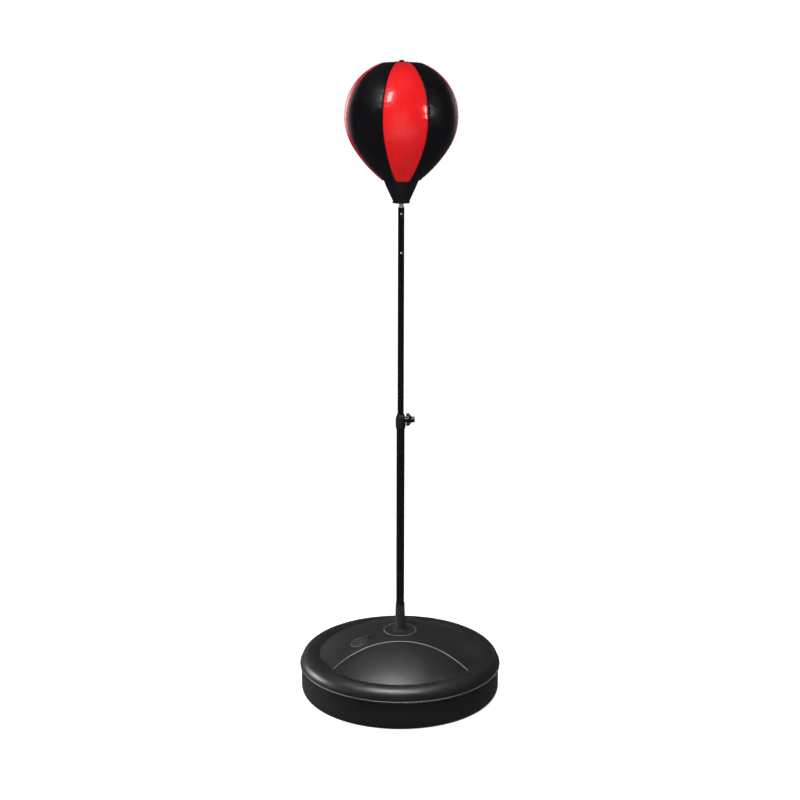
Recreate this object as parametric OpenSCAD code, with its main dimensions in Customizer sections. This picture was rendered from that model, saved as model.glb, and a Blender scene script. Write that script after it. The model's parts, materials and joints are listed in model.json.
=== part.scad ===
// Free-standing punch ball: a round base filled with water or sand, a two-tube pole held at its
// height by a clamp knob, and a sprung air-filled ball.
// Millimetres. The origin is the middle of the base's underside, +Z is up, the front faces -Y,
// and the clamp knob points along +X.

/* [Stand] */
// Height from the floor to the top of the ball, with the pole fully out
total_h = 1320; // [1300:1:1340]
// Distance the pole goes down from there
travel = 430; // [300:5:430]

/* [Base] */
// Radius of the circle through the middle of the round rim
rim_r = 188.4; // [180:0.1:196]
// Radius of the rim's own round section
rim_tube = 23.6; // [22:0.1:25]
// Height of the middle of the rim's section
rim_z = 65.8; // [64:0.1:68]
// Height of the seam between the lower and the upper shell
seam_z = 61; // [60:0.5:62]
// Radius of the lower shell's side wall
pan_r = 211.3; // [203:0.1:218]
// Radius of the lower shell's bottom edge
pan_edge_r = 15.6; // [12:0.1:20]
// Wall thickness of both shells
shell_t = 3; // [2.5:0.1:3]
// Radius of the domed floor inside the rim
dome_r = 318; // [310:1:330]
// Height of the dome at the edge of the pole flange
dome_seat_z = 133; // [131:0.5:135]
// Radius of the sunken front panel's outline, seen from above
panel_plan_r = 241; // [235:1:245]
// Nearest distance of that outline from the pole
panel_gap = 55; // [52:0.5:60]
// Depth of the sunken panel beside the pole
panel_near_drop = 2; // [1.5:0.1:3]
// Depth of the sunken panel at the rim
panel_far_drop = 4.5; // [3:0.1:6]
// Level of the water or sand inside
fill_z = 58; // [30:1:58]

/* [Filler] */
// Sideways place of the filler hole
filler_x = -87; // [-90:1:-80]
// Front to back place of the filler hole
filler_y = -39; // [-42:1:-36]
// Radius of the stopper's plug
plug_r = 13.95; // [12:0.05:14]
// Radius of the stopper's cap
cap_r = 17.2; // [16.5:0.1:17.5]
// Direction of the pull tab, counted from +X towards +Y
tab_angle = 40; // [20:1:60]

/* [Pole] */
// Outer radius of the lower tube
lower_r = 8.5; // [8.5:0.1:8.6]
// Wall of the lower tube
lower_wall = 1.2; // [1.1:0.1:1.3]
// Top of the lower tube
lower_top = 602.5; // [602:0.5:603]
// Outer radius of the upper tube
upper_r = 6.5; // [6.4:0.05:6.5]
// Wall of the upper tube
upper_wall = 1; // [0.8:0.1:1.1]
// Top of the upper tube, with the pole fully out
upper_top = 1033; // [1032:0.5:1033]
// Length of upper tube left inside the lower one, with the pole fully out
tube_overlap = 83; // [70:1:84]
// Running clearance between sliding or turning parts
fit_gap = 0.05; // [0.02:0.01:0.08]

/* [Socket] */
// Radius of the pole flange
flange_r = 34.8; // [33:0.1:35]
// Height of the flange's top face
flange_top = 134.2; // [134:0.1:134.6]
// Top of the fluted collar
collar_top = 190; // [180:1:195]
// Number of flutes around the collar
flutes = 16; // [12:1:18]

/* [Clamp] */
// Height of the clamp screw
knob_z = 597; // [596:0.5:597]
// Outer radius of the clamp body
clamp_r = 10.5; // [10.4:0.1:10.6]
// Radius over the knob's lobes
knob_r = 14.2; // [13:0.1:14.2]
// Number of lobes on the knob
lobes = 5; // [4:1:6]
// Thread radius of the clamp screw
screw_r = 2.5; // [2.4:0.1:2.5]

/* [Ball] */
// Greatest radius of the ball
ball_r = 112; // [111:0.5:113]
// Height of the crown above the widest line
ball_rise = 105.2; // [105:0.1:105.4]
// Radius of the upper side's curve
shoulder_r = 109.5; // [109.4:0.1:109.8]
// Radius of the nearly flat crown
crown_r = 500; // [480:10:520]
// Radius of the bend between the upper side and the crown
bend_r = 18; // [16:1:20]
// Radius of the long curve towards the neck
taper_r = 245; // [235:1:255]
// Angle below the widest line where that curve starts
taper_angle = 31; // [29:0.5:33]
// Number of sewn panels
panels = 8; // [8:2:8]
// Thickness of the panels
panel_t = 1.5; // [1.2:0.1:1.6]
// Angle that the first panel's middle is turned from the front
panel_turn = 4.3; // [0:0.1:10]
// Angle around the ball that the first panel takes
front_gore = 46.5; // [45:0.5:48]
// Angle that each of the two panels beside it takes
flank_gore = 51; // [45:0.5:53]
// Lower end of the panels
panel_end_z = 1088; // [1087:0.5:1089]
// Lower end of the neck cuff
hem_z = 1042; // [1042:0.5:1043]
// Radius of the cuff at its lower end
hem_r = 17; // [16.5:0.1:17.5]

/* [Spring] */
// Wire radius
wire_r = 0.8; // [0.6:0.05:0.85]
// Radius of the coil at the middle of its wire
coil_r = 4.9; // [4.8:0.05:5]
// Number of turns
coil_turns = 17; // [14:1:18]

/* [Hidden] */
$fn = 96;
PANEL_NODES = [for (i = [1:panels]) str("panel_", i, i % 2 == 1 ? "_red" : "_black")];

// Clearances and small sizes
cut = 1;
part_gap = 0.3;
slit = 0.1;

// Base
rim_outer_r = rim_r + rim_tube;
dome_z = dome_seat_z - sqrt(pow(dome_r, 2) - pow(flange_r + 0.2, 2));
lip_r = 2.3;
spigot_t = 3;
spigot_h = 7.6;
foot_recess = 2;
foot_ring_r = 150;
well_r = 23;
well_bore_r = 18;
well_floor_z = 36;
post_r = 20;
seat_floor_z = 131;
panel_y = -(panel_plan_r + panel_gap);
// The sunken floor is a sphere through its depth beside the pole and its depth at the rim
rim_crease_r = 173;
near_z = dome_height(panel_gap, dome_r, dome_z) - panel_near_drop;
far_z = dome_height(rim_crease_r, dome_r, dome_z) - panel_far_drop;
floor_half = (pow(rim_crease_r, 2) - pow(panel_gap, 2)) / (near_z - far_z);
floor_rise = (floor_half + near_z - far_z) / 2;
floor_r = sqrt(pow(floor_rise, 2) + pow(panel_gap, 2));
floor_z = near_z - floor_rise;

// Filler
cap_low = -2.2;
cap_high = 0.6;
plug_h = 16;
neck_r = 19;
neck_low = -20;
tab_w = 8;
tab_t = 1.6;
tab_reach = 30;

// Socket and lower tube
stem_r = well_bore_r - slit;
stem_low = well_floor_z + part_gap;
stem_floor = 6.4;
boss_r = 14;
boss_top = flange_top + 2.2;
collar_foot_r = 11;
collar_tip_r = 9.9;
flute_r = 0.9;
seal_h = 5;
plug_head = 3;
tube_low = stem_low + stem_floor + plug_head + 2 * slit;
lower_bore_r = lower_r - lower_wall;

// Clamp, in its own frame: the screw runs along +X from the pole's axis
clamp_low = knob_z - 18.5;
clamp_high = knob_z + 11;
clamp_foot_r = 9.6;
clamp_tip_r = 7.8;
clamp_boss_r = 6.2;
clamp_boss_x = 14.5;
nut_x = 9.6;
nut_t = 2.7;
nut_corner_r = 4.6;
slug_r = 2.45;
slug_x = 9;
knob_back_x = 11.2;
knob_web_x = 15.2;
knob_rim_x = 16.4;
knob_hub_x = 24;
knob_hub_r = 5.4;
lobe_r = 4.2;
screw_head_x = 19.5;
screw_head_t = 3.5;
knob_cap_r = 6.3;
knob_cap_x = 22.2;
knob_end_x = 29.4;

// Upper tube, guide bush and spring seat
upper_low = lower_top - tube_overlap;
upper_bore_r = upper_r - upper_wall;
bush_r = lower_bore_r - fit_gap;
bush_h = 25;
bush_floor = 2.4;
seat_low = upper_top - 102;
seat_flange_top = upper_top + 1.5;
stub_r = coil_r - wire_r - 0.2;
stub_h = 6.5;
pin_drops = [12, 90.5];
pin_r = 1.9;

// Ball
valve_cap_h = 3.8;
ball_top = total_h - valve_cap_h;
ball_z = ball_top - ball_rise;
crown_c = [0, ball_top - crown_r];
shoulder_c = [ball_r - shoulder_r, ball_z];
bend_c = meeting(crown_c, crown_r - bend_r, shoulder_c, shoulder_r - bend_r);
bend_low = atan2(bend_c.y - shoulder_c.y, bend_c.x - shoulder_c.x);
bend_high = atan2(bend_c.y - crown_c.y, bend_c.x - crown_c.x);
rest_gore = (360 - front_gore - 2 * flank_gore) / (panels - 3);
panel_hole_r = 7;
seam_angle = 0.25;
patch_r = 13;
patch_t = 0.8;
valve_hole_r = 3.2;
valve_r = 5.3;
bladder_gap = 0.5;
bladder_t = 1.5;
bladder_low = 1099;
anchor_low = 1094;
anchor_r = 38;
cuff_t = 1.5;
cuff_top_z = panel_end_z + 4.5;
cuff_top_r = 40.2;
cuff_shoulder_r = 36;
cuff_band_h = 4;
coil_low = seat_flange_top + wire_r + slit;
coil_high = anchor_low - wire_r - slit;

assert(upper_low - travel > tube_low + 20, "the upper tube must stay clear of the lower plug");
assert(hem_z - travel > knob_z + knob_r, "the cuff must stay above the knob");

// Height of a dome of radius r, centred at height z, at the distance x from the axis
function dome_height(x, r, z) = z + sqrt(pow(r, 2) - pow(x, 2));

// n + 1 points on an arc about c
function arc(c, r, a0, a1, n) =
    [for (i = [0:n]) let (a = a0 + (a1 - a0) * i / n) c + r * [cos(a), sin(a)]];

// The point on the +X side at the distances r1 from p1 and r2 from p2, where p1 is the lower
function meeting(p1, r1, p2, r2) =
    let (d = norm(p2 - p1),
         along = (pow(r1, 2) - pow(r2, 2) + pow(d, 2)) / (2 * d),
         aside = sqrt(pow(r1, 2) - pow(along, 2)),
         u = (p2 - p1) / d)
    p1 + along * u + aside * [u.y, -u.x];

function reversed(points) = [for (i = [len(points) - 1:-1:0]) points[i]];

// The ball's outline a distance d inside its surface, from height z_low up to radius r_top
function ball_outline(d, z_low, r_top) =
    let (taper_c = [0, ball_z] + (ball_r - taper_r) * [cos(taper_angle), -sin(taper_angle)],
         low_angle = asin((taper_c.y - z_low) / (taper_r - d)))
    concat(
        arc(taper_c, taper_r - d, -low_angle, -taper_angle, 6),
        arc([0, ball_z], ball_r - d, -taper_angle + 4, 0, 6),
        arc(shoulder_c, shoulder_r - d, 6, bend_low, 12),
        arc(bend_c, bend_r - d, bend_low + 4, bend_high, 4),
        arc(crown_c, crown_r - d, (bend_high + 90) / 2, acos(r_top / (crown_r - d)), 1));

// The angle around the ball that panel i takes, and the angle at which it starts
function gore(i) = i == 1 ? front_gore : i == 2 || i == panels ? flank_gore : rest_gore;
function gore_start(i) =
    i == 1 ? panel_turn - 90 - front_gore / 2 : gore_start(i - 1) + gore(i - 1);

// A shell between two depths below the ball's surface
function ball_shell(outer_d, inner_d, z_low, r_top) =
    concat(ball_outline(outer_d, z_low, r_top), reversed(ball_outline(inner_d, z_low, r_top)));

// Puts its children on the dome at the filler, with +Z along the dome's normal
module at_filler() {
    reach = norm([filler_x, filler_y]);
    rotate([0, 0, atan2(filler_y, filler_x)])
        translate([0, 0, dome_z])
            rotate([0, asin(reach / dome_r), 0])
                translate([0, 0, dome_r])
                    rotate([0, 0, -atan2(filler_y, filler_x)])
                        children();
}

// Puts its children at the clamp screw, with +Z along the screw and +X up
module at_screw() {
    translate([0, 0, knob_z]) rotate([0, 90, 0]) rotate([0, 0, 180]) children();
}

module tube(outer_r, bore_r, low, high) {
    translate([0, 0, low])
        difference() {
            cylinder(r = outer_r, h = high - low);
            translate([0, 0, -cut]) cylinder(r = bore_r, h = high - low + 2 * cut);
        }
}

// ---- Base ----

// Section of the solid under the cover's top surface, a distance d inside it
module cover_section(d, low) {
    translate([rim_r, rim_z]) circle(r = rim_tube - d);
    translate([0, low]) square([rim_outer_r - d, rim_z - low]);
    intersection() {
        translate([0, dome_z]) circle(r = dome_r - d);
        translate([0, low]) square([rim_r, 200]);
    }
}

// The space above the sunken panel's floor, a distance d deeper
module panel_space(d) {
    intersection() {
        translate([0, panel_y, 0]) cylinder(r = panel_plan_r + d, h = 200);
        rotate_extrude()
            difference() {
                translate([0, seam_z + cut]) square([rim_r, 100]);
                translate([0, floor_z]) circle(r = floor_r - d);
                translate([rim_r, rim_z]) circle(r = rim_tube - d);
            }
    }
}

module cover_solid(d, low) {
    difference() {
        rotate_extrude() intersection() {
            cover_section(d, low);
            translate([0, low]) square([300, 300]);
        }
        panel_space(d);
    }
}

// Upper shell with its rim, dome, sunken panel, filler neck and pole well
module base_cover() {
    color("#2c2c2e")
        difference() {
            union() {
                difference() {
                    cover_solid(0, seam_z);
                    cover_solid(shell_t, seam_z - cut);
                }
                rotate_extrude()
                    translate([rim_outer_r + 0.2, seam_z + lip_r]) circle(r = lip_r);
                at_filler() translate([0, 0, neck_low]) cylinder(r = neck_r, h = cap_low - neck_low);
                translate([0, 0, well_floor_z - shell_t])
                    cylinder(r = well_r, h = seat_floor_z - well_floor_z + shell_t);
            }
            translate([0, 0, seat_floor_z]) cylinder(r = flange_r + 0.4, h = 20);
            translate([0, 0, well_floor_z]) cylinder(r = well_bore_r, h = 200);
            at_filler() translate([0, 0, cap_low - slit]) cylinder(r = cap_r + part_gap, h = 20);
            at_filler() translate([0, 0, -40]) cylinder(r = plug_r + fit_gap, h = 60);
        }
}

// Lower shell with its foot ring, joining spigot and the post under the pole well
module base_pan() {
    edge_c = [pan_r - pan_edge_r, pan_edge_r];
    spigot_r = rim_outer_r - shell_t - 0.6;
    color("#28282a")
        rotate_extrude()
            polygon(concat(
                [[0, foot_recess], [foot_ring_r - foot_recess, foot_recess], [foot_ring_r, 0]],
                arc(edge_c, pan_edge_r, -90, 0, 12),
                [[pan_r, seam_z - 0.6], [spigot_r, seam_z - 0.6], [spigot_r, seam_z + spigot_h],
                 [spigot_r - spigot_t, seam_z + spigot_h], [spigot_r - spigot_t, seam_z - 4]],
                arc(edge_c, pan_edge_r - shell_t, 0, -90, 12),
                [[foot_ring_r, shell_t], [foot_ring_r - foot_recess, shell_t + foot_recess],
                 [post_r, shell_t + foot_recess], [post_r, well_floor_z - shell_t - slit],
                 [0, well_floor_z - shell_t - slit]]));
}

// The water or sand that the user fills in
module water_ballast() {
    low = shell_t + foot_recess + part_gap;
    edge_r = pan_edge_r - shell_t;
    side_r = rim_outer_r - shell_t - 0.6 - spigot_t - part_gap;
    color("#6f8894")
        rotate_extrude()
            polygon(concat(
                [[well_r + part_gap, low]],
                arc([side_r - edge_r, low + edge_r], edge_r, -90, 0, 8),
                [[side_r, fill_z], [well_r + part_gap, fill_z]]));
}

// Rubber stopper with its pull tab
module filler_stopper() {
    color("#1d1d1f")
        at_filler() {
            rotate_extrude()
                polygon([[0, -plug_h], [plug_r - 1.5, -plug_h], [plug_r, -plug_h + 3],
                         [plug_r, cap_low], [cap_r, cap_low], [cap_r, 0], [cap_r - 0.6, cap_high],
                         [0, cap_high]]);
            rotate([0, 0, tab_angle])
                translate([0, 0, cap_high - tab_t + 1.2])
                    linear_extrude(tab_t) {
                        translate([cap_r - 6, -tab_w / 2]) square([tab_reach - cap_r + 6, tab_w]);
                        translate([tab_reach, 0]) circle(d = tab_w);
                        translate([cap_r - 6, 0]) circle(d = tab_w);
                    }
        }
}

// ---- Pole socket and lower tube ----

// Flange on the dome, with the stem that stands in the well
module socket_flange() {
    edge = 1.2;
    color("#303032")
        rotate_extrude()
            polygon(concat(
                [[0, stem_low], [stem_r, stem_low], [stem_r, seat_floor_z + slit],
                 [flange_r, seat_floor_z + slit]],
                arc([flange_r - edge, flange_top - edge], edge, 0, 90, 5),
                [[boss_r, flange_top]],
                arc([boss_r - edge, boss_top - edge], edge, 0, 90, 5),
                [[lower_r + fit_gap, boss_top], [lower_r + fit_gap, stem_low + stem_floor],
                 [0, stem_low + stem_floor]]));
}

// Fluted grip collar around the foot of the lower tube
module socket_collar() {
    low = boss_top + slit;
    height = collar_top - low;
    lean = atan((collar_foot_r - collar_tip_r) / height);
    color("#4b4b4e")
        difference() {
            translate([0, 0, low]) cylinder(r1 = collar_foot_r, r2 = collar_tip_r, h = height);
            tube_space(low, collar_top);
            for (i = [0:flutes - 1])
                rotate([0, 0, i * 360 / flutes])
                    translate([collar_foot_r + 0.3, 0, low - cut])
                        rotate([0, -lean, 0])
                            cylinder(r = flute_r, h = height + 2 * cut);
        }
}

module tube_space(low, high) {
    translate([0, 0, low - cut]) cylinder(r = lower_r + fit_gap, h = high - low + 2 * cut);
}

// Dark band that closes the collar's top
module collar_seal() {
    color("#161617")
        tube(collar_tip_r - 0.1, lower_r + 0.02, collar_top + slit, collar_top + seal_h);
}

module lower_tube() {
    color("#0f0f10")
        difference() {
            tube(lower_r, lower_bore_r, tube_low, lower_top);
            at_screw() cylinder(r = slug_r + 0.15, h = 20);
        }
}

module lower_tube_plug() {
    color("#1a1a1b")
        rotate_extrude()
            polygon([[0, tube_low - slit - plug_head], [lower_r - 0.1, tube_low - slit - plug_head],
                     [lower_r - 0.1, tube_low - slit], [lower_bore_r - 0.1, tube_low - slit],
                     [lower_bore_r - 0.1, tube_low + 10], [lower_bore_r - 1.1, tube_low + 12],
                     [0, tube_low + 12]]);
}

// ---- Clamp ----

// Moulded clamp on top of the lower tube, with the boss that holds the nut
module clamp_body() {
    color("#1b1b1c")
        difference() {
            union() {
                rotate_extrude()
                    polygon([[0, clamp_low], [clamp_foot_r, clamp_low], [clamp_r, clamp_low + 4.5],
                             [clamp_r, clamp_high - 8], [clamp_tip_r, clamp_high], [0, clamp_high]]);
                at_screw() cylinder(r = clamp_boss_r, h = clamp_boss_x);
            }
            translate([0, 0, clamp_low - cut])
                cylinder(r = lower_r + fit_gap, h = lower_top + slit - clamp_low + cut);
            translate([0, 0, clamp_low]) cylinder(r = upper_r + fit_gap, h = 50);
            at_screw() cylinder(r = screw_r + 0.1, h = 20);
            at_screw() translate([0, 0, nut_x - slit / 2])
                cylinder(r = nut_corner_r + slit / 2, h = nut_t + slit, $fn = 6);
        }
}

module clamp_nut() {
    color("#9a9b9d")
        at_screw()
            translate([0, 0, nut_x])
                difference() {
                    cylinder(r = nut_corner_r, h = nut_t, $fn = 6);
                    translate([0, 0, -cut]) cylinder(r = screw_r + fit_gap, h = nut_t + 2 * cut);
                }
}

// Slug that the screw presses on the upper tube, hollowed to the tube's curve
module clamp_slug() {
    color("#b08d3c")
        difference() {
            at_screw() cylinder(r = slug_r, h = slug_x);
            translate([0, 0, knob_z - 10]) cylinder(r = upper_r + fit_gap, h = 20);
        }
}

module clamp_screw() {
    color("#8f9092")
        at_screw() {
            translate([0, 0, slug_x + fit_gap])
                cylinder(r = screw_r, h = screw_head_x - slug_x - fit_gap + 1);
            translate([0, 0, screw_head_x]) cylinder(r = nut_corner_r, h = screw_head_t, $fn = 6);
        }
}

// Lobed knob: a star cut to a cone in front and cupped behind over the clamp's boss
module clamp_knob() {
    color("#1b1b1c")
        at_screw()
            difference() {
                union() {
                    intersection() {
                        translate([0, 0, knob_back_x]) linear_extrude(knob_hub_x - knob_back_x)
                            knob_star();
                        rotate_extrude()
                            polygon([[0, knob_back_x], [knob_r - 1.5, knob_back_x],
                                     [knob_r, knob_back_x + 2.5], [knob_r, knob_rim_x],
                                     [knob_hub_r + 1, knob_hub_x - 1], [0, knob_hub_x - 1]]);
                    }
                    translate([0, 0, knob_web_x])
                        cylinder(r = knob_hub_r, h = knob_hub_x - knob_web_x);
                }
                translate([0, 0, knob_back_x - cut])
                    cylinder(r = knob_r - lobe_r - 0.6, h = knob_web_x - knob_back_x + cut);
                cylinder(r = screw_r + slit, h = 50);
                translate([0, 0, screw_head_x - slit])
                    cylinder(r = nut_corner_r + slit, h = 20, $fn = 6);
            }
}

module knob_star() {
    circle(r = knob_r - lobe_r);
    for (i = [0:lobes - 1])
        rotate([0, 0, i * 360 / lobes]) translate([knob_r - lobe_r, 0]) circle(r = lobe_r);
}

// Round cap over the knob's hub
module knob_cap() {
    edge = 2;
    color("#232324")
        at_screw()
            rotate_extrude()
                polygon(concat(
                    [[knob_hub_r + 0.1, knob_cap_x + 1], [knob_cap_r, knob_cap_x + 1]],
                    arc([knob_cap_r - edge, knob_end_x - edge], edge, 0, 90, 6),
                    [[0, knob_end_x], [0, knob_hub_x + slit], [knob_hub_r + 0.1, knob_hub_x + slit]]));
}

// ---- Upper pole ----

// Sleeve on the upper tube's foot, which slides in the lower tube
module guide_bush() {
    color("#d9d6cc")
        difference() {
            translate([0, 0, upper_low - bush_floor - slit])
                cylinder(r = bush_r, h = bush_floor + slit + bush_h);
            translate([0, 0, upper_low - slit]) cylinder(r = upper_r + fit_gap, h = bush_h + cut);
            translate([0, 0, upper_low - 10]) cylinder(r = 4, h = 20);
        }
}

// Cylinders of one radius and length across the upper tube, one at each pin
module across_upper_tube(r, h) {
    for (drop = pin_drops)
        translate([0, 0, upper_top - drop]) rotate([90, 0, 0])
            cylinder(r = r, h = h, center = true);
}

module upper_tube() {
    color("#0f0f10")
        difference() {
            tube(upper_r, upper_bore_r, upper_low, upper_top);
            across_upper_tube(pin_r + fit_gap, 40);
        }
}

// Plug in the top of the upper tube, with the stub that the spring is wound onto
module spring_seat() {
    color("#77787a")
        difference() {
            rotate_extrude()
                polygon([[0, seat_low], [upper_bore_r - 0.05, seat_low],
                         [upper_bore_r - 0.05, upper_top + slit], [upper_r - 0.1, upper_top + slit],
                         [upper_r - 0.1, seat_flange_top], [stub_r, seat_flange_top],
                         [stub_r, seat_flange_top + stub_h - 1],
                         [stub_r - 1, seat_flange_top + stub_h], [0, seat_flange_top + stub_h]]);
            across_upper_tube(pin_r + fit_gap, 40);
        }
}

// Two flush pins through the tube and the seat
module seat_pins() {
    color("#6a6b6d") across_upper_tube(pin_r, 2 * upper_r - 0.2);
}

// ---- Spring ----

// One round section of the wire, at the fraction t of the coil's length
function wire_ring(t, sides) =
    let (a = 360 * coil_turns * t, z = coil_low + (coil_high - coil_low) * t)
    [for (i = [0:sides - 1]) let (b = 360 * i / sides, r = coil_r + wire_r * cos(b))
        [r * cos(a), r * sin(a), z + wire_r * sin(b)]];

module coil_spring() {
    sides = 6;
    steps = coil_turns * 16;
    points = [for (k = [0:steps], p = wire_ring(k / steps, sides)) p];
    walls = [for (k = [0:steps - 1], i = [0:sides - 1])
        let (j = (i + 1) % sides)
        [k * sides + i, (k + 1) * sides + i, (k + 1) * sides + j, k * sides + j]];
    ends = [[for (i = [0:sides - 1]) i], [for (i = [sides - 1:-1:0]) steps * sides + i]];
    color("#9da0a3") polyhedron(points, concat(walls, ends));
}

// ---- Ball ----

// Disc that closes the ball's neck and carries the spring's top end
module ball_anchor() {
    color("#3a3a3c")
        rotate_extrude()
            polygon([[0, anchor_low - stub_h], [stub_r - 1, anchor_low - stub_h],
                     [stub_r, anchor_low - stub_h + 1], [stub_r, anchor_low],
                     [anchor_r, anchor_low], [anchor_r + 2, anchor_low + 2],
                     [anchor_r + 2, anchor_low + 4], [0, anchor_low + 4]]);
}

// Rubber air bladder, closed flat at the bottom and pierced by the valve at the top
module bladder() {
    outer_d = panel_t + bladder_gap;
    inner_d = outer_d + bladder_t;
    color("#3d3a35")
        rotate_extrude()
            polygon(concat(
                [[0, bladder_low]],
                ball_outline(outer_d, bladder_low, valve_hole_r),
                reversed(ball_outline(inner_d, bladder_low + bladder_t, valve_hole_r)),
                [[0, bladder_low + bladder_t]]));
}

// Valve through the bladder and the crown, with the round cap on top
module bladder_valve() {
    foot_z = ball_top - panel_t - bladder_gap - bladder_t - 0.4;
    edge = 2.8;
    color("#111112")
        rotate_extrude()
            polygon(concat(
                [[0, foot_z - 8], [5, foot_z - 8], [5, foot_z - 3], [8, foot_z - 2], [8, foot_z],
                 [valve_hole_r - 0.2, foot_z], [valve_hole_r - 0.2, ball_top + patch_t + slit],
                 [valve_r, ball_top + patch_t + slit]],
                arc([valve_r - edge, total_h - edge], edge, 0, 90, 6),
                [[0, total_h]]));
}

// Round patch over the point where the panels meet
module crown_patch() {
    color("#141416")
        rotate_extrude()
            polygon(concat(
                arc(crown_c, crown_r + slit / 2,
                    acos(patch_r / crown_r), acos(valve_hole_r / crown_r), 3),
                arc(crown_c, crown_r + patch_t,
                    acos(valve_hole_r / crown_r), acos(patch_r / crown_r), 3)));
}

// Tapered cuff that hides the spring
module neck_cuff() {
    outer = [[hem_r, hem_z], [hem_r, hem_z + cuff_band_h], [cuff_shoulder_r, panel_end_z],
             [cuff_top_r, cuff_top_z]];
    inner = [for (p = outer) p - [cuff_t, 0]];
    color("#1a1b1f") rotate_extrude() polygon(concat(outer, reversed(inner)));
}

// Band sewn around the cuff's lower end
module cuff_band() {
    color("#101012")
        tube(hem_r + 0.7, hem_r + 0.02, hem_z + 0.4, hem_z + cuff_band_h - 0.4);
}

// One sewn panel of the ball; panel 1 is the red one at the front
module ball_panel(i) {
    color(i % 2 == 1 ? "#e01c24" : "#121214")
        rotate([0, 0, gore_start(i) + seam_angle])
            rotate_extrude(angle = gore(i) - 2 * seam_angle)
                polygon(ball_shell(0, panel_t, panel_end_z, panel_hole_r));
}

base_pan();
base_cover();
water_ballast();
filler_stopper();
socket_flange();
socket_collar();
collar_seal();
lower_tube();
lower_tube_plug();
clamp_body();
clamp_nut();
clamp_slug();
clamp_screw();
clamp_knob();
knob_cap();
guide_bush();
upper_tube();
spring_seat();
seat_pins();
coil_spring();
ball_anchor();
bladder();
bladder_valve();
crown_patch();
neck_cuff();
cuff_band();
for (i = [1:panels])
    ball_panel(i);
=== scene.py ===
"""Looks of the free-standing punch ball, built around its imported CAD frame. Metres, +Z up, front at -Y."""
import json
import math

import bmesh
import bpy
import numpy as np
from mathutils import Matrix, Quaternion, Vector, noise


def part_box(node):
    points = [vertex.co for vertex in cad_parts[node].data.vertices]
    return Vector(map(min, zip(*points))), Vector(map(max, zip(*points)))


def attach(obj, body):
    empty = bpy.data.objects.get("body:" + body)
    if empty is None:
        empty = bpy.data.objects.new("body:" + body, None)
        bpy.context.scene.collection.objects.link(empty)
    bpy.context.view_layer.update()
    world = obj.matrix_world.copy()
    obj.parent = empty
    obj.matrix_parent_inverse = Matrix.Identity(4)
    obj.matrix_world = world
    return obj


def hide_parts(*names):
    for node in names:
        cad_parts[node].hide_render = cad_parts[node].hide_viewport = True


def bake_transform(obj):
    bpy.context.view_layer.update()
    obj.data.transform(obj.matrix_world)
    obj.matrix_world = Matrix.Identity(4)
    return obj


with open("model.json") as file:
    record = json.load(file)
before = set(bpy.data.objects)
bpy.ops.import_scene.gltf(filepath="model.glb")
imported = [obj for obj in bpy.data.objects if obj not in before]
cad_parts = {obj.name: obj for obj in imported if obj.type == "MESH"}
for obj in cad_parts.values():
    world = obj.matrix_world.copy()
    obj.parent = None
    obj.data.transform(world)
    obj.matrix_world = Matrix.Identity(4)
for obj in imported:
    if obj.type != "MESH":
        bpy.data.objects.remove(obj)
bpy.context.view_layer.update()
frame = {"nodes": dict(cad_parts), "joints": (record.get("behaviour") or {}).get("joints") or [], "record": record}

MM = 0.001

# ---- Places, from the frame ----

BALL_LOW, BALL_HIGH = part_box("panel_1_red")
CUFF_LOW, CUFF_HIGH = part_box("neck_cuff")
COIL_LOW, COIL_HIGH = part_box("coil_spring")
COVER_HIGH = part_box("base_cover")[1]
JOINTS = {joint["name"]: joint for joint in frame["joints"]}
PIVOT_Z = JOINTS["spring_sway_front"]["pos_m"][2]

# The ball's outline, as the CAD panels have it: a long taper, the side, the shoulder, a short bend, the crown
BALL_R = 112 * MM
SHOULDER_R = 109.5 * MM
BEND_R = 18 * MM
CROWN_R = 500 * MM
TAPER_R = 245 * MM
TAPER_ANGLE = 31
BALL_RISE = 105.2 * MM
BALL_Z = BALL_HIGH.z - BALL_RISE

# The panels around it; gore angles are in degrees
PANELS = 8
PANEL_TURN = 4.3            # how far the front panel's middle is turned from -Y
FRONT_GORE = 46.5
FLANK_GORE = 51             # the two panels beside the front one
REST_GORE = (360 - FRONT_GORE - 2 * FLANK_GORE) / (PANELS - 3)
PANEL_T = 1.0 * MM          # how far the hidden inner surface lies under the dip along the seams
PANEL_HOLE_R = 7 * MM       # hole left around the valve


def gore(number):
    """Angle around the ball that a panel takes."""
    if number == 1:
        return FRONT_GORE
    return FLANK_GORE if number in (2, PANELS) else REST_GORE


def gore_start(number):
    """Angle at which a panel starts, counted from +X."""
    return PANEL_TURN - 90 - FRONT_GORE / 2 + sum(gore(k) for k in range(1, number))


# ---- Shared mesh helpers ----

def arc(centre, radius, start, end, n):
    """n + 1 points on an arc in a plane, angles in degrees."""
    angles = np.radians(np.linspace(start, end, n + 1))
    return np.column_stack((centre[0] + radius * np.cos(angles), centre[1] + radius * np.sin(angles)))


def resample(points, n):
    """n points spaced evenly along a line of points."""
    steps = np.linalg.norm(np.diff(points, axis=0), axis=1)
    along = np.concatenate(([0], np.cumsum(steps)))
    wanted = np.linspace(0, along[-1], n)
    return np.column_stack([np.interp(wanted, along, points[:, k]) for k in range(points.shape[1])])


def mesh_object(name, points, faces):
    """A smooth-shaded object with its normals pointing out."""
    mesh = bpy.data.meshes.new(name)
    mesh.from_pydata([tuple(p) for p in points], [], faces)
    mesh.validate()
    build = bmesh.new()
    build.from_mesh(mesh)
    bmesh.ops.recalc_face_normals(build, faces=build.faces)
    build.to_mesh(mesh)
    build.free()
    mesh.shade_smooth()
    obj = bpy.data.objects.new(name, mesh)
    bpy.context.scene.collection.objects.link(obj)
    return obj


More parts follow.
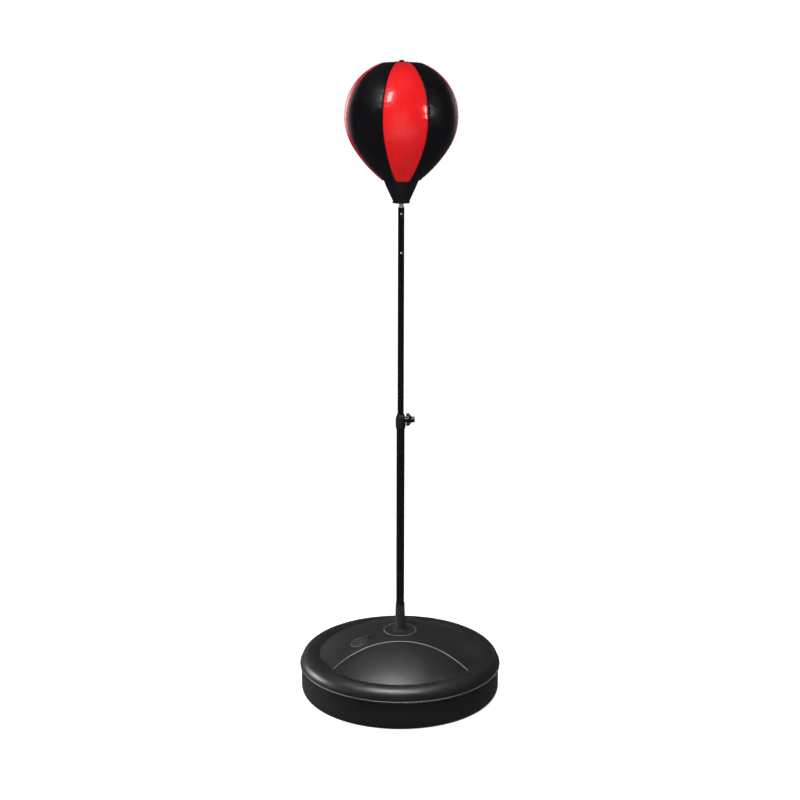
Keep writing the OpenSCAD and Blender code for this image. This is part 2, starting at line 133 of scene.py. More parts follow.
def sweep(path, radius, sides, closed=False):
    """Points and faces of a round tube along a path; open tubes get end faces."""
    path = np.asarray(path, float)
    n = len(path)
    if closed:
        ahead = np.roll(path, -1, axis=0) - np.roll(path, 1, axis=0)
    else:
        ahead = np.gradient(path, axis=0)
    ahead /= np.linalg.norm(ahead, axis=1)[:, None]
    side = np.cross(ahead[0], (0.0, 0.0, 1.0))
    if np.linalg.norm(side) < 1e-3:
        side = np.cross(ahead[0], (0.0, 1.0, 0.0))
    points = []
    turn = np.arange(sides) * 2 * math.pi / sides
    for k in range(n):
        side = side - ahead[k] * side.dot(ahead[k])
        side /= np.linalg.norm(side)
        up = np.cross(ahead[k], side)
        ring = path[k] + radius * (np.cos(turn)[:, None] * side + np.sin(turn)[:, None] * up)
        points.extend(ring)
    last = n if closed else n - 1
    faces = [
        (k * sides + i, k * sides + (i + 1) % sides,
         (k + 1) % n * sides + (i + 1) % sides, (k + 1) % n * sides + i)
        for k in range(last)
        for i in range(sides)
    ]
    if not closed:
        faces.append(tuple(range(sides)))
        faces.append(tuple((n - 1) * sides + i for i in reversed(range(sides))))
    return points, faces


def grid_faces(rows, columns, wrap=False):
    """Faces of a grid of points stored row by row; wrap joins the last column to the first."""
    last = columns if wrap else columns - 1
    return [
        (r * columns + c, r * columns + (c + 1) % columns,
         (r + 1) * columns + (c + 1) % columns, (r + 1) * columns + c)
        for r in range(rows - 1)
        for c in range(last)
    ]


def revolve(name, outline, steps):
    """A closed ring-shaped solid from a closed outline of (r, z) points."""
    count = len(outline)
    points = [
        (r * math.cos(a), r * math.sin(a), z)
        for a in (2 * math.pi * k / steps for k in range(steps))
        for r, z in outline
    ]
    faces = [
        (k * count + i, k * count + (i + 1) % count,
         (k + 1) % steps * count + (i + 1) % count, (k + 1) % steps * count + i)
        for k in range(steps)
        for i in range(count)
    ]
    return mesh_object(name, points, faces)


def closed_skin(name, outer, inner, rows, columns):
    """A closed solid between two grids of points."""
    size = rows * columns
    faces = grid_faces(rows, columns)
    faces += [tuple(size + i for i in reversed(f)) for f in grid_faces(rows, columns)]
    edge = list(range(columns))
    edge += [r * columns + columns - 1 for r in range(1, rows)]
    edge += [(rows - 1) * columns + c for c in range(columns - 2, -1, -1)]
    edge += [r * columns for r in range(rows - 2, 0, -1)]
    for a, b in zip(edge, edge[1:] + edge[:1]):
        faces.append((b, a, size + a, size + b))
    return mesh_object(name, list(outer) + list(inner), faces)


# ---- Materials ----

def material(name, colour, roughness, metallic=0.0, **sockets):
    """A new material with its shader's plain values set; returns it with its node tree and shader."""
    mat = bpy.data.materials.new(name)
    mat.use_nodes = True
    tree = mat.node_tree
    shader = tree.nodes["Principled BSDF"]
    shader.inputs["Base Color"].default_value = (*colour, 1)
    shader.inputs["Roughness"].default_value = roughness
    shader.inputs["Metallic"].default_value = metallic
    for key, value in sockets.items():
        shader.inputs[key.replace("_", " ")].default_value = value
    return mat, tree, shader


def object_coords(tree):
    """The piece's own coordinates, in metres."""
    return tree.nodes.new("ShaderNodeTexCoord").outputs["Object"]


def noise_node(tree, vector, scale, detail=2.0, rough=0.5):
    """Cloudy noise; scale counts per metre."""
    node = tree.nodes.new("ShaderNodeTexNoise")
    node.inputs["Scale"].default_value = scale
    node.inputs["Detail"].default_value = detail
    node.inputs["Roughness"].default_value = rough
    tree.links.new(vector, node.inputs["Vector"])
    return node.outputs["Fac"]


def voronoi_node(tree, vector, scale, feature="DISTANCE_TO_EDGE"):
    """Cell pattern; scale counts cells per metre."""
    node = tree.nodes.new("ShaderNodeTexVoronoi")
    node.feature = feature
    node.inputs["Scale"].default_value = scale
    tree.links.new(vector, node.inputs["Vector"])
    return node.outputs["Distance"]


def ramp(tree, value, low, high, to_low, to_high):
    """Maps value from low..high to to_low..to_high, smoothly and clamped."""
    node = tree.nodes.new("ShaderNodeMapRange")
    node.interpolation_type = "SMOOTHSTEP"
    node.inputs["From Min"].default_value = low
    node.inputs["From Max"].default_value = high
    node.inputs["To Min"].default_value = to_low
    node.inputs["To Max"].default_value = to_high
    tree.links.new(value, node.inputs["Value"])
    return node.outputs["Result"]


def mix_colour(tree, factor, first, second):
    """Blends two plain colours by a varying factor."""
    node = tree.nodes.new("ShaderNodeMix")
    node.data_type = "RGBA"
    node.inputs["A"].default_value = (*first, 1)
    node.inputs["B"].default_value = (*second, 1)
    tree.links.new(factor, node.inputs["Factor"])
    return node.outputs["Result"]


def add_bump(tree, shader, heights):
    """Stacks bumps on a shader; heights lists (height socket, strength, distance)."""
    normal = None
    for height, strength, distance in heights:
        node = tree.nodes.new("ShaderNodeBump")
        node.inputs["Strength"].default_value = strength
        node.inputs["Distance"].default_value = distance
        tree.links.new(height, node.inputs["Height"])
        if normal is not None:
            tree.links.new(normal, node.inputs["Normal"])
        normal = node.outputs["Normal"]
    tree.links.new(normal, shader.inputs["Normal"])


def moulded_plastic(name, colour, light, roughness, grain=1.0):
    """Moulded plastic with spark-eroded grain, pale specks on the grain's peaks and slightly uneven gloss."""
    mat, tree, shader = material(name, colour, roughness)
    coords = object_coords(tree)
    fine = noise_node(tree, coords, 900, 2, 0.6)
    tree.links.new(
        mix_colour(tree, ramp(tree, fine, 0.5, 0.72, 0, 1), colour, light), shader.inputs["Base Color"])
    tree.links.new(
        ramp(tree, noise_node(tree, coords, 30, 3, 0.6), 0.3, 0.7, roughness - 0.03, roughness + 0.03),
        shader.inputs["Roughness"])
    add_bump(tree, shader, [
        (noise_node(tree, coords, 14, 1), 0.15, 0.6 * MM),
        (fine, 0.6 * grain, 0.16 * MM),
        (voronoi_node(tree, coords, 480, "F1"), 0.45 * grain, 0.16 * MM)])
    return mat


def glossy_vinyl(name, colour, deep, roughness, coat, specular):
    """Glossy leatherette: fine pebble grain under a clear coat, with soft stretch marks."""
    mat, tree, shader = material(
        name, colour, roughness, Coat_Weight=coat, Coat_Roughness=0.08, Specular_IOR_Level=specular)
    coords = object_coords(tree)
    cloud = noise_node(tree, coords, 22, 3, 0.55)
    tree.links.new(
        mix_colour(tree, ramp(tree, cloud, 0.35, 0.7, 0, 1), colour, deep), shader.inputs["Base Color"])
    tree.links.new(
        ramp(tree, cloud, 0.3, 0.7, roughness - 0.04, roughness + 0.07), shader.inputs["Roughness"])
    add_bump(tree, shader, [
        (noise_node(tree, coords, 34, 2), 0.3, 0.5 * MM),
        (voronoi_node(tree, coords, 850), 0.1, 0.05 * MM)])
    return mat


def powder_coat(name, colour):
    """Gloss black powder coat with orange peel and light rub marks."""
    mat, tree, shader = material(name, colour, 0.2, Coat_Weight=0.4, Coat_Roughness=0.1)
    coords = object_coords(tree)
    rub = noise_node(tree, coords, 60, 5, 0.65)
    tree.links.new(ramp(tree, rub, 0.4, 0.75, 0.16, 0.34), shader.inputs["Roughness"])
    tree.links.new(
        mix_colour(tree, ramp(tree, rub, 0.55, 0.8, 0, 1), colour, [c * 2.2 + 0.002 for c in colour]),
        shader.inputs["Base Color"])
    add_bump(tree, shader, [(noise_node(tree, coords, 420, 1), 0.08, 0.05 * MM)])
    return mat


def bare_metal(name, colour, roughness, metallic):
    """Plated or turned metal with fine scratches and an uneven tone; dull plating is only part metallic."""
    mat, tree, shader = material(name, colour, roughness, metallic=metallic)
    coords = object_coords(tree)
    cloud = noise_node(tree, coords, 120, 4, 0.6)
    tree.links.new(
        mix_colour(tree, cloud, [c * 0.75 for c in colour], colour), shader.inputs["Base Color"])
    tree.links.new(ramp(tree, cloud, 0.3, 0.7, roughness - 0.06, roughness + 0.1), shader.inputs["Roughness"])
    add_bump(tree, shader, [(noise_node(tree, coords, 1800, 2), 0.25, 0.03 * MM)])
    return mat


def soft_rubber(name, colour, roughness):
    """Matt rubber with a dusty bloom."""
    mat, tree, shader = material(name, colour, roughness, Specular_IOR_Level=0.35)
    coords = object_coords(tree)
    bloom = noise_node(tree, coords, 90, 4, 0.6)
    tree.links.new(
        mix_colour(tree, ramp(tree, bloom, 0.45, 0.75, 0, 1), colour, [c * 1.8 + 0.004 for c in colour]),
        shader.inputs["Base Color"])
    add_bump(tree, shader, [(noise_node(tree, coords, 1100, 2), 0.3, 0.06 * MM)])
    return mat


def water(name):
    """Cloudy water, drawn opaque because it never shows."""
    mat, tree, shader = material(name, (0.12, 0.2, 0.24), 0.08)
    coords = object_coords(tree)
    cloud = noise_node(tree, coords, 12, 3)
    tree.links.new(mix_colour(tree, cloud, (0.09, 0.16, 0.2), (0.16, 0.26, 0.3)), shader.inputs["Base Color"])
    add_bump(tree, shader, [(noise_node(tree, coords, 25, 2), 0.2, 0.5 * MM)])
    return mat


# Maker, name, then the maker's own values: colours, roughness and so on
LOOKS = (
    (moulded_plastic, "base_shell", (0.0055, 0.0055, 0.0056), (0.016, 0.016, 0.0165), 0.41),
    # a pale grey painted on the thin edge beads: a painted highlight along the edges
    (moulded_plastic, "painted_highlight_edge", (0.09, 0.09, 0.092), (0.15, 0.15, 0.153), 0.34, 0.4),
    (moulded_plastic, "collar_grip", (0.012, 0.012, 0.0125), (0.045, 0.045, 0.047), 0.36),
    (moulded_plastic, "black_moulding", (0.006, 0.006, 0.0065), (0.012, 0.012, 0.013), 0.34, 0.6),
    (soft_rubber, "stopper_rubber", (0.010, 0.010, 0.011), 0.55),
    (powder_coat, "pole_paint", (0.0016, 0.0016, 0.0019)),
    (bare_metal, "bright_steel", (0.60, 0.61, 0.63), 0.3, 0.5),
    (bare_metal, "slug_brass", (0.62, 0.43, 0.14), 0.3, 0.9),
    (moulded_plastic, "bush_nylon", (0.66, 0.64, 0.58), (0.74, 0.72, 0.66), 0.4, 0.5),
    (water, "ballast"),
    (soft_rubber, "bladder_rubber", (0.03, 0.028, 0.026), 0.55),
    (glossy_vinyl, "red_vinyl", (0.84, 0.012, 0.0145), (0.78, 0.010, 0.012), 0.24, 0.5, 0.4),
    # a lighter, bluer copy of the black vinyl: painted sheen on the downward-facing cuff
    (glossy_vinyl, "cuff_vinyl_painted_sheen", (0.006, 0.006, 0.008), (0.009, 0.009, 0.012), 0.42, 0.05, 0.4),
    (glossy_vinyl, "black_vinyl", (0.0032, 0.0032, 0.0040), (0.0052, 0.0052, 0.0066), 0.36, 0.08, 0.3),
)
MATERIALS = {name: make(name, *values) for make, name, *values in LOOKS}


def finish_piece(obj, slot, look=None):
    """Gives a piece its slot's material, or a look of its own when one is given."""
    obj.data.materials.clear()
    obj.data.materials.append(MATERIALS[look or slot])


def finish_cad_nodes():
    """Every CAD node takes the detailed material of its slot."""
    for sub in frame["record"]["subparts"]:
        obj = frame["nodes"][sub["node"]]
        obj.data.materials.clear()
        obj.data.materials.append(MATERIALS[sub["material_slot"]])


# ---- Ball ----

def meeting(first, first_r, second, second_r):
    """The point on the +X side at two distances from two centres, the lower centre first."""
    first, second = np.array(first), np.array(second)
    apart = np.linalg.norm(second - first)
    along = (first_r ** 2 - second_r ** 2 + apart ** 2) / (2 * apart)
    aside = math.sqrt(first_r ** 2 - along ** 2)
    unit = (second - first) / apart
    return first + along * unit + aside * np.array((unit[1], -unit[0]))


def ball_profile(depth, low_z, top_r):
    """The ball's outline (r, z) at a depth under its surface, from low_z up to radius top_r."""
    lean = math.radians(TAPER_ANGLE)
    taper_c = ((BALL_R - TAPER_R) * math.cos(lean), BALL_Z - (BALL_R - TAPER_R) * math.sin(lean))
    shoulder_c = (BALL_R - SHOULDER_R, BALL_Z)
    crown_c = (0, BALL_HIGH.z - CROWN_R)
    bend_c = meeting(crown_c, CROWN_R - BEND_R, shoulder_c, SHOULDER_R - BEND_R)
    low = math.degrees(math.asin((taper_c[1] - low_z) / (TAPER_R - depth)))
    bend_low = math.degrees(math.atan2(bend_c[1] - shoulder_c[1], bend_c[0] - shoulder_c[0]))
    bend_high = math.degrees(math.atan2(bend_c[1] - crown_c[1], bend_c[0] - crown_c[0]))
    top = math.degrees(math.acos(top_r / (CROWN_R - depth)))
    return np.vstack((
        arc(taper_c, TAPER_R - depth, -low, -TAPER_ANGLE, 40),
        arc((0, BALL_Z), BALL_R - depth, -TAPER_ANGLE, 0, 40)[1:],
        arc(shoulder_c, SHOULDER_R - depth, 0, bend_low, 60)[1:],
        arc(bend_c, BEND_R - depth, bend_low, bend_high, 12)[1:],
        arc(crown_c, CROWN_R - depth, bend_high, top, 8)[1:]))


def profile_normals(profile):
    """Outward unit normals of an outline that runs upwards."""
    along = np.gradient(profile, axis=0)
    normals = np.column_stack((along[:, 1], -along[:, 0]))
    return normals / np.linalg.norm(normals, axis=1)[:, None]


PANEL_ROWS, PANEL_COLUMNS = 130, 41
SEAM_GAP = 0.35 * MM        # half the width between two panels
EDGE_ROLL = 1.5 * MM        # radius to which a panel's edge turns in
PANEL_PUFF = 0.8 * MM       # how far the middle of a panel stands out of the CAD surface
PUFF_POWER = 2.2            # how flat that middle is
PUFF_WIDTH = 30 * MM        # half width from which a panel bulges fully
SEAM_DIP = 0.9 * MM         # how far its edges lie inside that surface before they turn in
PUCKER = 0.4 * MM           # height of the gathers along a seam
PUCKER_WAVE = 10.5 * MM
PUCKER_REACH = 8 * MM
PUCKER_DRIFT = 30 * MM      # length over which their spacing wanders
DENT = 0.35 * MM            # height of the wide, shallow unevenness
DENT_SIZE = 45 * MM
HEM_H = 3.4 * MM            # folded lower end of a panel
HEM_BULGE = 1.0 * MM
HEM_GROOVE = 0.5 * MM
HEM_CUT = 5 * MM            # height over which the hem's corners are rounded off
HEM_CUT_SHARE = 0.28        # share of the width they lose
RED_HEM_DROP = 1.4 * MM     # the red panels reach this much lower than the black ones
WELT_R = 0.75 * MM
WELT_DEPTH = 0.9 * MM       # how far the piping's middle lies under that dip


def seam_shape(edge, along, seed):
    """Height added to a panel's surface at a distance from its seam: the turned edge and its gathers."""
    roll = np.where(
        edge < EDGE_ROLL,
        -EDGE_ROLL + np.sqrt(np.clip(EDGE_ROLL ** 2 - (EDGE_ROLL - edge) ** 2, 0, None)), 0)
    drift = np.array([noise.noise(Vector((a / PUCKER_DRIFT, seed, 0))) for a in along])
    gather = np.sin(2 * math.pi * along / PUCKER_WAVE + 5 * drift) * (0.6 + 0.8 * np.abs(drift))
    return roll + PUCKER * gather * np.exp(-edge / PUCKER_REACH) * np.clip(edge / (2 * MM), 0, 1)


def hem_shape(along):
    """Height added by the folded lower end: a fat fold and the stitched groove above it."""
    fold = HEM_BULGE * np.exp(-((along - HEM_H / 2) / (HEM_H / 3)) ** 2)
    groove = HEM_GROOVE * np.exp(-((along - HEM_H - 0.7 * MM) / (0.8 * MM)) ** 2)
    return fold - groove


def panel_lift(number, v, outer, half_width, along):
    """Height of a panel over the CAD surface along one of its lines; v runs from -1 to 1 across it."""
    fullness = np.clip(half_width / PUFF_WIDTH, 0.1, 1)
    edge = (1 - abs(v)) * half_width
    lift = (PANEL_PUFF + SEAM_DIP) * (1 - abs(v) ** PUFF_POWER) * fullness - SEAM_DIP * fullness
    seam_seed = number * 3.7 + (1.3 if v > 0 else 0)
    lift += seam_shape(edge, along, seam_seed) + hem_shape(along)
    for row, (radius, height) in enumerate(outer):
        lift[row] += DENT * noise.noise(Vector((radius * v, number * 0.31, height)) / DENT_SIZE)
    return lift


def ball_panel(number, colour):
    """One sewn gore: bulged between its seams, turned in at the edges and folded at the lower end."""
    rows, columns = PANEL_ROWS, PANEL_COLUMNS
    low_z = BALL_LOW.z - (RED_HEM_DROP if colour == "red" else 0)
    outer = resample(ball_profile(0, low_z, PANEL_HOLE_R), rows)
    normals = profile_normals(outer)
    inner = outer - normals * (SEAM_DIP + PANEL_T)
    along = np.concatenate(([0], np.cumsum(np.linalg.norm(np.diff(outer, axis=0), axis=1))))
    middle = math.radians(gore_start(number) + gore(number) / 2)
    half_width = outer[:, 0] * math.radians(gore(number) / 2) - SEAM_GAP
    half_width *= 1 - HEM_CUT_SHARE * np.clip(1 - along / HEM_CUT, 0, 1) ** 2
    points_out, points_in = np.zeros((rows, columns, 3)), np.zeros((rows, columns, 3))
    for c, v in enumerate(np.sin(np.linspace(-90, 90, columns) * math.pi / 180)):
        lift = panel_lift(number, v, outer, half_width, along)
        angle = middle + v * half_width / outer[:, 0]
        for store, line, height in ((points_out, outer, lift), (points_in, inner, 0 * lift)):
            radius = line[:, 0] + normals[:, 0] * height
            store[:, c, 0] = radius * np.cos(angle)
            store[:, c, 1] = radius * np.sin(angle)
            store[:, c, 2] = line[:, 1] + normals[:, 1] * height
    obj = closed_skin(
        f"skin_{number}_{colour}", points_out.reshape(-1, 3), points_in.reshape(-1, 3), rows, columns)
    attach(obj, "ball")
    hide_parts(f"panel_{number}_{colour}")
    finish_piece(obj, f"{colour}_vinyl")


def seam_welt(number):
    """Thin piping sunk in the groove before a panel."""
    low_z, top_r = BALL_LOW.z + 0.5 * MM, PANEL_HOLE_R + 3 * MM
    outer = resample(ball_profile(SEAM_DIP + WELT_DEPTH, low_z, top_r), 110)
    angle = math.radians(gore_start(number))
    path = np.column_stack((outer[:, 0] * math.cos(angle), outer[:, 0] * math.sin(angle), outer[:, 1]))
    points, faces = sweep(path, WELT_R, 8)
    obj = mesh_object(f"seam_welt_{number}", points, faces)
    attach(obj, "ball")
    finish_piece(obj, "black_vinyl")


# ---- Base trim ----

def trim_ring(name, radius, height, thick, body, slot, foot=(0, 0, 0), axis=(0, 0, 1)):
    """A thin round bead around an axis, in the pale painted-highlight material; height is counted along the axis
    from its foot.
    """
    turn = Vector(axis).to_track_quat("Z", "X")
    path = [
        Vector(foot) + turn @ Vector((radius * math.cos(a), radius * math.sin(a), height))
        for a in (2 * math.pi * k / 192 for k in range(192))]
    points, faces = sweep([tuple(p) for p in path], thick, 10, closed=True)
    obj = mesh_object(name, points, faces)
    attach(obj, body)
    # the bead takes the pale grey that is a painted highlight
    finish_piece(obj, slot, "painted_highlight_edge")


# The cover's surfaces that carry the beads, as in the CAD
DOME_R = 318 * MM
DOME_Z = -183.07 * MM       # centre of the dome's sphere
RIM_CREASE_R = 173 * MM     # where the dome meets the rim
LIP_Z = 63.3 * MM
FLANGE_TOP = 134.2 * MM
STOPPER_R = 17.2 * MM
ARC_R = 241 * MM            # outline of the sunken panel, seen from above
ARC_Y = -296 * MM


def arc_bead():
    """Raised bead along the top edge of the sunken front panel, painted pale as a painted highlight on the dome's
    edge.
    """
    reach = math.acos((ARC_R ** 2 + ARC_Y ** 2 - RIM_CREASE_R ** 2) / (-2 * ARC_R * ARC_Y))
    path = []
    for t in np.linspace(-reach, reach, 121):
        x, y = ARC_R * math.sin(t), ARC_Y + ARC_R * math.cos(t)
        path.append((x, y, DOME_Z + math.sqrt(DOME_R ** 2 - x * x - y * y) - 0.3 * MM))
    points, faces = sweep(path, 0.95 * MM, 10)
    obj = mesh_object("arc_bead", points, faces)
    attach(obj, "stand_base")
    # the bead takes the pale grey that is a painted highlight
    finish_piece(obj, "base_shell", "painted_highlight_edge")


def base_trim():
    """The fine edges of the lip, the flange, the stopper and the sunken panel, painted pale as painted highlights.
    """
    flange_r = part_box("socket_flange")[1].x
    trim_ring("lip_bead", COVER_HIGH.x - 0.75 * MM, LIP_Z + 1.5 * MM, 0.8 * MM, "stand_base", "base_shell")
    trim_ring("flange_bead", flange_r - 0.5 * MM, FLANGE_TOP - 0.3 * MM, 0.6 * MM, "stand_base", "base_shell")
    trim_ring(
        "stopper_bead", STOPPER_R - 0.5 * MM, DOME_R + 0.3 * MM, 0.55 * MM, "stopper", "stopper_rubber",
        foot=(0, 0, DOME_Z), axis=JOINTS["stopper_pull"]["axis"])
    arc_bead()


# ---- Neck ----

CUFF_STEPS, CUFF_ROWS = 144, 46
CUFF_T = 1.4 * MM
CUFF_KNOTS_R = (17.0, 17.2, 35.8, 40.0)     # mm, at the mouth, over the hem, at the panels' hems, at the top
CUFF_HEM_H = 4.5 * MM
CUFF_PRESS = 0.9 * MM       # depth of the soft folds
CUFF_PRESS_OUT = 0.4 * MM   # the most they stand out
CUFF_STITCH_DIP = 0.5 * MM


def cuff_press(a, z):
    """How far the leatherette stands out at an angle and a height, from its folds and the stitch line."""
    hem_z = CUFF_LOW.z
    share = (z - hem_z) / (BALL_LOW.z - hem_z)
    spot = Vector((math.cos(a), math.sin(a), z / (60 * MM)))
    fold = math.sin(11 * a + 3 * noise.noise(spot * 1.4)) * noise.noise(spot * 2.1 + Vector((4, 0, 0)))
    press = CUFF_PRESS * fold * math.sin(math.pi * min(max(share, 0), 1)) ** 0.7
    press -= CUFF_STITCH_DIP * math.exp(-((z - hem_z - 5 * MM) / (0.8 * MM)) ** 2)
    return min(press, CUFF_PRESS_OUT)


def pipe_faces(rows, steps):
    """Faces of a thick-walled pipe: its outer grid, its inner grid and the two rings that join them."""
    size, top = rows * steps, (rows - 1) * steps
    faces = grid_faces(rows, steps, wrap=True)
    faces += [tuple(size + i for i in reversed(f)) for f in grid_faces(rows, steps, wrap=True)]
    for k in range(steps):
        n = (k + 1) % steps
        faces.append((n, k, size + k, size + n))
        faces.append((top + k, top + n, size + top + n, size + top + k))
    return faces


def neck_cuff():
    """Leatherette cone with soft gathers, a turned hem at the bottom and a thickness."""
    top_z, hem_z = CUFF_HIGH.z, CUFF_LOW.z
    knots_z = np.array([hem_z, hem_z + CUFF_HEM_H, BALL_LOW.z, top_z])
    knots_r = np.array(CUFF_KNOTS_R) * MM
    outer, inner = [], []
    for z in np.linspace(hem_z, top_z, CUFF_ROWS):
        radius = np.interp(z, knots_z, knots_r)
        for a in (2 * math.pi * k / CUFF_STEPS for k in range(CUFF_STEPS)):
            press = cuff_press(a, z)
            for store, r in ((outer, radius + press), (inner, radius + press - CUFF_T)):
                store.append((r * math.cos(a), r * math.sin(a), z))
    obj = mesh_object("cuff_skin", outer + inner, pipe_faces(CUFF_ROWS, CUFF_STEPS))
    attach(obj, "ball")
    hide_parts("neck_cuff")
    # the cuff takes a lighter, bluer copy of the black vinyl, which is painted sheen
    finish_piece(obj, "black_vinyl", "cuff_vinyl_painted_sheen")


HEM_STITCHES = 34
STITCH_R = 0.28 * MM
STITCH_SHARE = 0.62         # share of its pitch that a stitch covers
STITCH_ARCH = 0.012         # how far its middle arches out, as a share of the ring's radius


def cuff_hem():
    """Turned band around the cuff's lower end, slightly rounded, with its row of stitches."""
    low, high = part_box("cuff_band")
    middle, radius = (low.z + high.z) / 2, high.x
    half = (high.z - low.z) / 2
    outline = [(radius - 0.7 * MM, low.z), (radius - 0.2 * MM, low.z + 0.15 * MM)]
    outline += [
        (radius - (0.2 - 0.2 * math.sin(t * math.pi)) * MM, low.z + 0.4 * MM + t * (2 * half - 0.8 * MM))
        for t in np.linspace(0, 1, 7)]
    outline += [(radius - 0.2 * MM, high.z - 0.15 * MM), (radius - 0.7 * MM, high.z)]
    obj = revolve("cuff_hem", outline, 128)
    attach(obj, "ball")
    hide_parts("cuff_band")
    finish_piece(obj, "black_vinyl")
    stitch_row("hem_stitches", radius, middle, HEM_STITCHES, "ball")


def stitch_row(name, radius, height, count, body):
    """A ring of separate stitches, each a short rounded thread lying along the ring."""
    points, faces = [], []
    length = 2 * math.pi * radius / count * STITCH_SHARE
    for k in range(count):
        a = 2 * math.pi * k / count
        half = length / 2 / radius
        line = [
            (radius * math.cos(a + half * t) * (1 + STITCH_ARCH * (1 - t * t)),
             radius * math.sin(a + half * t) * (1 + STITCH_ARCH * (1 - t * t)), height)
            for t in np.linspace(-1, 1, 7)]
        more, more_faces = sweep(line, STITCH_R, 6)
        base = len(points)
        points += more
        faces += [tuple(base + i for i in f) for f in more_faces]
    obj = mesh_object(name, points, faces)
    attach(obj, body)
    finish_piece(obj, "black_vinyl")


WIRE_R = 0.8 * MM
COIL_TURNS = 17
# Heights over the hinges: the first hinge's share, then the second's; only the middle one is used, as the height
# where the coil is split
BEND_HEIGHTS = (-8 * MM, 5 * MM, 30 * MM)


def coil_path(start, end):
    """The wire's middle line between two shares of the coil's length."""
    coil_r = COIL_HIGH.x - WIRE_R
    low, high = COIL_LOW.z + WIRE_R, COIL_HIGH.z - WIRE_R
    shares = np.linspace(start, end, int(COIL_TURNS * (end - start) * 40))
    angles = shares * COIL_TURNS * 2 * math.pi
    return np.column_stack((coil_r * np.cos(angles), coil_r * np.sin(angles), low + shares * (high - low)))


def neck_spring():
    """The wire coil in two lengths, split at a height just over the neck's hinges."""
    bend_low, bend_middle, bend_high = (PIVOT_Z + height for height in BEND_HEIGHTS)
    split = (bend_middle - COIL_LOW.z) / (COIL_HIGH.z - COIL_LOW.z)
    spans = (
        ("spring_lower_coil", 0, split, ("upper_pole", "neck_spring"), (bend_low, bend_middle)),
        ("spring_upper_coil", split, 1, ("neck_spring", "ball"), (bend_middle, bend_high)))
    for name, start, end, bodies, bend in spans:
        points, faces = sweep(coil_path(start, end), WIRE_R, 12)
        obj = mesh_object(name, points, faces)
        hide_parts("coil_spring")
        finish_piece(obj, "bright_steel")
        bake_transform(obj)


# ---- Camera, lights, floor ----

FOCAL_MM = 63.3
CAMERA_X = -1.4 * MM
CAMERA_BACK = 2.8265
CAMERA_Z = 1.288
AIM_Z = 0.6383
CAMERA_ROLL = 0.15          # degrees


def aim(obj, target):
    """Turns a camera or light so that it looks at a point."""
    obj.rotation_mode = "QUATERNION"
    obj.rotation_quaternion = (Vector(target) - obj.location).to_track_quat("-Z", "Y")


def make_camera():
    """Looks at the object from the front, slightly from above."""
    data = bpy.data.cameras.new("camera")
    data.lens = FOCAL_MM
    data.sensor_width = 36
    obj = bpy.data.objects.new("camera", data)
    bpy.context.scene.collection.objects.link(obj)
    obj.location = (CAMERA_X, -CAMERA_BACK, CAMERA_Z)
    aim(obj, (CAMERA_X, 0, AIM_Z))
    obj.rotation_quaternion = obj.rotation_quaternion @ Quaternion((0, 0, 1), math.radians(CAMERA_ROLL))
    bpy.context.scene.camera = obj


def place_light(name, data, position, target, glossy):
    """Adds a light that the camera never sees."""
    obj = bpy.data.objects.new(name, data)
    bpy.context.scene.collection.objects.link(obj)
    obj.location = position
    obj.visible_camera = False
    obj.visible_glossy = glossy
    aim(obj, target)


def softbox(name, target, direction, distance, size, power, glossy=True, spread=180):
    """A softbox aimed at a target from a direction; size in metres, power in watts, spread in degrees.

    glossy sets whether glossy rays see the box; a small spread acts like a grid on it.
    """
    data = bpy.data.lights.new(name, "AREA")
    data.shape = "RECTANGLE"
    data.size, data.size_y = size
    data.energy = power
    data.spread = math.radians(spread)
    place_light(name, data, Vector(target) + Vector(direction).normalized() * distance, target, glossy)


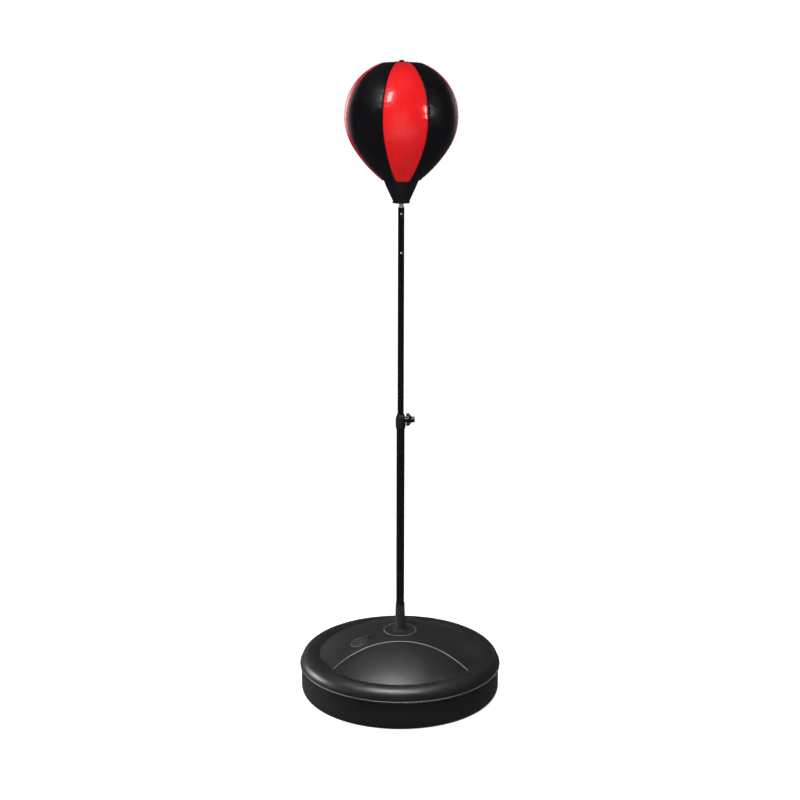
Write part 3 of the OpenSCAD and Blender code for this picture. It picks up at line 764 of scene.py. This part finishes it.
def make_lights():
    """Key, side and rim boxes for the ball, two boxes for the base, two fills and a wide overhead light."""
    ball, base = (0, 0, BALL_Z), (0, 0, 0.08)
    softbox("key_softbox", ball, (-0.46, -0.62, 0.62), 2.6, (0.5, 0.9), 2.8, spread=60)
    softbox("side_softbox", ball, (0.80, -0.53, 0.20), 2.2, (0.10, 0.6), 0.7, spread=60)
    softbox("rim_softbox", ball, (-0.50, 0.86, 0.05), 3.0, (1.0, 1.6), 0.36, spread=32)
    softbox("right_rim_softbox", ball, (0.50, 0.86, 0.05), 3.0, (0.5, 1.6), 0.1, spread=32)
    softbox("base_softbox", base, (-0.10, -0.32, 0.94), 1.6, (0.74, 0.31), 2.3, spread=34)
    softbox("base_side_softbox", base, (-0.92, 0.28, 0.14), 2.6, (0.6, 0.5), 1.0, spread=20)
    softbox("front_fill", (0, 0, 0.7), (-0.10, -0.99, -0.05), 4.5, (3.0, 3.0), 128, glossy=False)
    softbox("low_fill", ball, (0, -0.85, -0.50), 2.0, (2.6, 0.6), 5.2, glossy=False, spread=90)
    data = bpy.data.lights.new("overhead", "SUN")
    data.energy = 1.5
    data.angle = math.radians(60)
    place_light("overhead", data, (-0.4, -0.5, 3), (0, 0, 0), False)


def backdrop_colour(tree, shown, reflected):
    """One colour to the camera and another in reflections and bounced light."""
    path = tree.nodes.new("ShaderNodeLightPath")
    return mix_colour(tree, path.outputs["Is Camera Ray"], reflected, shown)


def make_world():
    """White behind everything for the camera, dim for everything else."""
    world = bpy.data.worlds.new("studio")
    bpy.context.scene.world = world
    world.use_nodes = True
    tree = world.node_tree
    tree.links.new(
        backdrop_colour(tree, (1, 1, 1), (0.05, 0.052, 0.06)), tree.nodes["Background"].inputs["Color"])


def make_floor():
    """A wide pale floor, partly self-lit so that it fades into the backdrop without an edge."""
    reach = 60
    corners = [(-reach, -reach, 0), (reach, -reach, 0), (reach, reach, 0), (-reach, reach, 0)]
    obj = mesh_object("floor", corners, [(0, 1, 2, 3)])
    mat, tree, shader = material("floor", (0.9, 0.9, 0.9), 0.9, Specular_IOR_Level=0.0, Emission_Strength=1.0)
    tree.links.new(
        backdrop_colour(tree, (0.5, 0.5, 0.5), (0.05, 0.05, 0.053)), shader.inputs["Base Color"])
    tree.links.new(
        backdrop_colour(tree, (0.92, 0.92, 0.92), (0.035, 0.035, 0.038)), shader.inputs["Emission Color"])
    obj.data.materials.append(mat)


# ---- Build ----

make_camera()
make_lights()
make_world()
make_floor()
bpy.context.scene.view_settings.view_transform = "Standard"

finish_cad_nodes()
for panel in range(1, PANELS + 1):
    ball_panel(panel, "red" if panel % 2 == 1 else "black")
    seam_welt(panel)
base_trim()
neck_cuff()
cuff_hem()
neck_spring()
